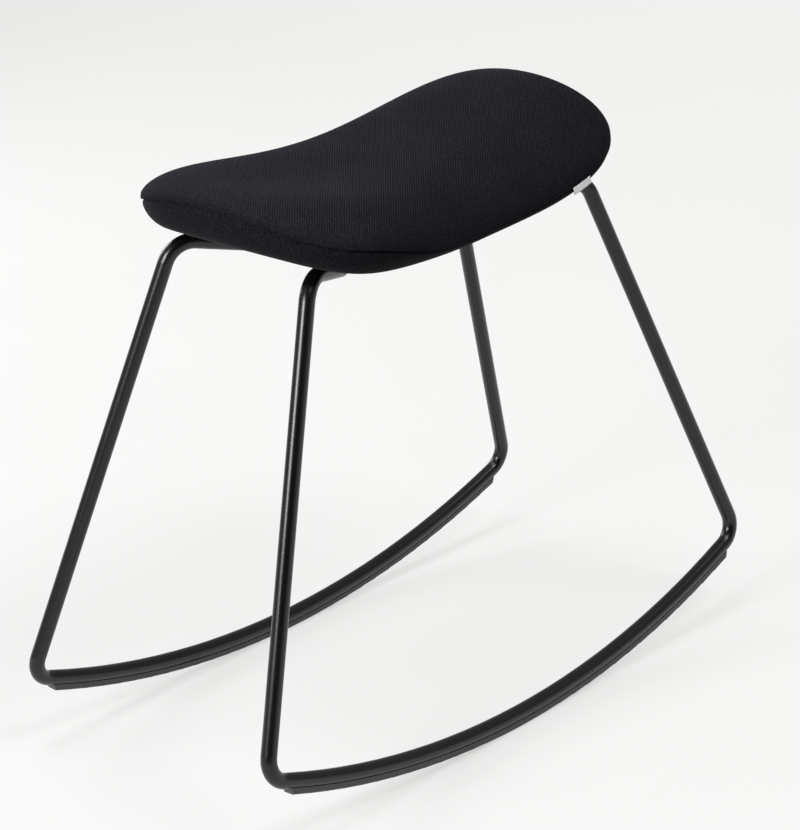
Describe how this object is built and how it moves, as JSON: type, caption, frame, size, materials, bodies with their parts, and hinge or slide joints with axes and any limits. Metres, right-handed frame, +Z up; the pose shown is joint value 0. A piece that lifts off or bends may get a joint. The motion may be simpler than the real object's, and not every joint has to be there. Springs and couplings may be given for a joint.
{
  "type": "rocking stool",
  "caption": "Stool with a black upholstered saddle seat on two splayed bent-tube side frames, whose curved runners rock fore and aft.",
  "frame": {"origin": "on the floor, midway between the places where the two runners touch it", "axes": "+Z up, +Y from the low front end of the seat to its high rear end, +X to the sitter's left"},
  "size_m": [0.3682, 0.74, 0.6241],
  "materials": {
    "frame_paint": "satin black powder coat",
    "glide_plastic": "matt black nylon",
    "plug_plastic": "matt black",
    "zinc_steel": "zinc plated",
    "plywood": "moulded birch plywood",
    "foam": "polyurethane foam",
    "ribbed_fabric": "fine ribbed weave",
    "plain_fabric": "fine plain weave",
    "lining_felt": "thin felt",
    "label_tape": "woven tape, blank"
  },
  "bodies": {
    "root": {"side_frame_left": "frame_paint", "side_frame_right": "frame_paint", "front_arm_tab_left": "frame_paint", "front_arm_tab_right": "frame_paint", "rear_arm_tab_left": "frame_paint", "rear_arm_tab_right": "frame_paint", "glide_strip_left": "glide_plastic", "glide_strip_right": "glide_plastic", "front_arm_plug_left": "plug_plastic", "front_arm_plug_right": "plug_plastic", "rear_arm_plug_left": "plug_plastic", "rear_arm_plug_right": "plug_plastic", "seat_bolts": "zinc_steel", "seat_washers": "zinc_steel", "tee_nuts": "zinc_steel", "cover_staples": "zinc_steel", "seat_shell": "plywood", "foam_cushion": "foam", "top_cover": "ribbed_fabric", "border_cover": "plain_fabric", "underside_lining": "lining_felt", "sewn_label": "label_tape"}
  },
  "joints": []
}
